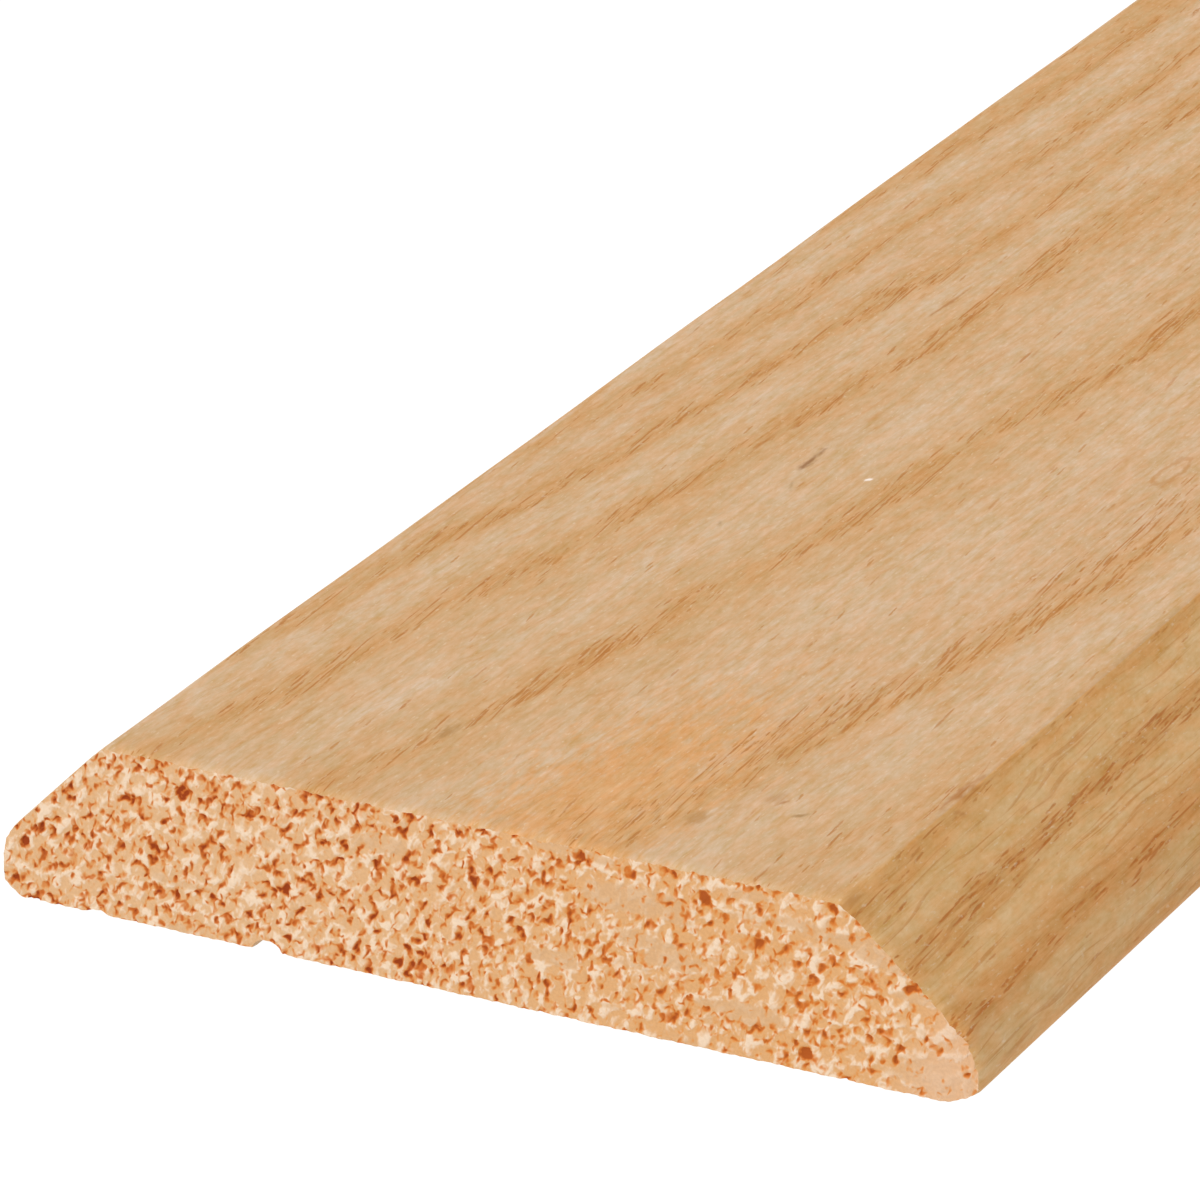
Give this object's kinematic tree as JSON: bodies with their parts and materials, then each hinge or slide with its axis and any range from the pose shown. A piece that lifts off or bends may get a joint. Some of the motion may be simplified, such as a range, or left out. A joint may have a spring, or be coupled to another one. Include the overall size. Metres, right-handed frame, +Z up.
{
  "type": "threshold strip",
  "caption": "Flat-topped solid hardwood threshold strip with bevelled edges, round noses and countersunk floor screws.",
  "frame": {"origin": "on the flat underside, at the middle of the strip's length and width, so the floor is the plane Z = 0", "axes": "X across the strip, Y along it with the pictured end at -Y, +Z up out of the floor"},
  "size_m": [0.0508, 0.9144, 0.0255],
  "materials": {
    "hardwood": "bare, sanded on the moulded faces and rough-sawn on the ends",
    "screw_steel": "bright zinc plate"
  },
  "bodies": {
    "root": {"hardwood_strip": "hardwood", "floor_screw_1": "screw_steel", "floor_screw_2": "screw_steel", "floor_screw_3": "screw_steel", "floor_screw_4": "screw_steel"}
  },
  "joints": []
}
